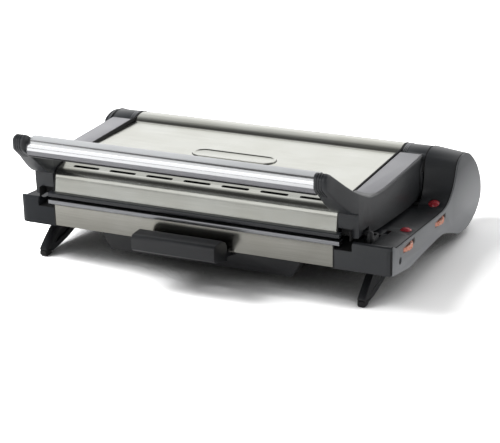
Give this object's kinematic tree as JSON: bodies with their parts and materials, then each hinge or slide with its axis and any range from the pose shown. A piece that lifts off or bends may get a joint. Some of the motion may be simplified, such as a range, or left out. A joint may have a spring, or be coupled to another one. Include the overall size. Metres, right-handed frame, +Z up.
{
  "type": "electric indoor grill with lid",
  "caption": "Countertop electric grill with a hinged steel lid, bar handle, ribbed cooking plates, side thermostat thumbwheels, folding feet and a slide-out drip tray.",
  "frame": {"origin": "on the table under the middle of the closed grill's bounding box", "axes": "+X along the width toward the thumbwheels, +Y to the rear, +Z up"},
  "size_m": [0.445, 0.3568, 0.1646],
  "materials": {
    "steel": "brushed along the width",
    "aluminium_trim": "satin",
    "chrome": "polished",
    "plate": "dark non-stick coating",
    "element": "dull steel",
    "dark_plastic": "fine grain",
    "grey_plastic": "satin metallic paint",
    "black_plastic": "fine grain",
    "ivory_plastic": "heat-proof moulding",
    "red_lens": "clear red",
    "amber_plastic": "semi-gloss",
    "rubber": "matte"
  },
  "bodies": {
    "base": {"base_tub": "dark_plastic", "tray_rails": "dark_plastic", "front_panel": "steel", "base_trim": "aluminium_trim", "lower_plate": "plate", "lower_element": "element", "lower_reflector": "aluminium_trim", "housing_right": "dark_plastic", "side_cover_right": "grey_plastic", "housing_left": "dark_plastic", "side_cover_left": "grey_plastic", "rear_cover": "dark_plastic", "hinge_pin_right": "element", "hinge_pin_left": "element", "thermostat_lower": "ivory_plastic", "thermostat_upper": "ivory_plastic", "terminal_block": "ivory_plastic", "lamp_lower": "red_lens", "lamp_upper": "red_lens", "element_screws_lower": "element", "foot_pins": "element", "rear_pads": "rubber"},
    "lid": {"lid_cover": "steel", "lid_liner": "black_plastic", "lid_trim": "dark_plastic", "arm_right": "dark_plastic", "arm_left": "dark_plastic", "arm_insert_right": "grey_plastic", "arm_insert_left": "grey_plastic", "handle_bar": "chrome", "handle_core": "grey_plastic", "upper_plate": "plate", "upper_element": "element", "upper_reflector": "aluminium_trim", "element_screws_upper": "element", "hinge_bush_right": "ivory_plastic", "hinge_bush_left": "ivory_plastic"},
    "drip_tray": {"drip_tray": "black_plastic"},
    "foot_left": {"foot_left": "black_plastic", "foot_tip_left": "rubber"},
    "foot_right": {"foot_right": "black_plastic", "foot_tip_right": "rubber"},
    "thumbwheel_lower": {"thumbwheel_lower": "amber_plastic"},
    "thumbwheel_upper": {"thumbwheel_upper": "amber_plastic"},
    "lid_catch": {"lid_catch": "black_plastic"}
  },
  "joints": [
    {"name": "lid_hinge", "type": "hinge", "parent": "base", "child": "lid", "pos_m": [-0.0115, 0.0881, 0.084], "axis": [-1, 0, 0], "range_deg": [0, 180]},
    {"name": "tray_slide", "type": "slide", "parent": "base", "child": "drip_tray", "axis": [0, -1, 0], "range_m": [0, 0.13]},
    {"name": "foot_left_fold", "type": "hinge", "parent": "base", "child": "foot_left", "pos_m": [-0.20275, -0.0239, 0.041], "axis": [-1, 0, 0], "range_deg": [0, 25]},
    {"name": "foot_right_fold", "type": "hinge", "parent": "base", "child": "foot_right", "pos_m": [0.17975, -0.0239, 0.041], "axis": [-1, 0, 0], "range_deg": [0, 25]},
    {"name": "thumbwheel_lower_turn", "type": "hinge", "parent": "base", "child": "thumbwheel_lower", "pos_m": [0.2005, -0.0769, 0.0616], "axis": [0, 0, 1], "range_deg": [0, 270]},
    {"name": "thumbwheel_upper_turn", "type": "hinge", "parent": "base", "child": "thumbwheel_upper", "pos_m": [0.2005, 0.0261, 0.053], "axis": [0, 0, 1], "range_deg": [0, 270]},
    {"name": "catch_slide", "type": "slide", "parent": "base", "child": "lid_catch", "axis": [0, 1, 0], "range_m": [0, 0.009]}
  ]
}
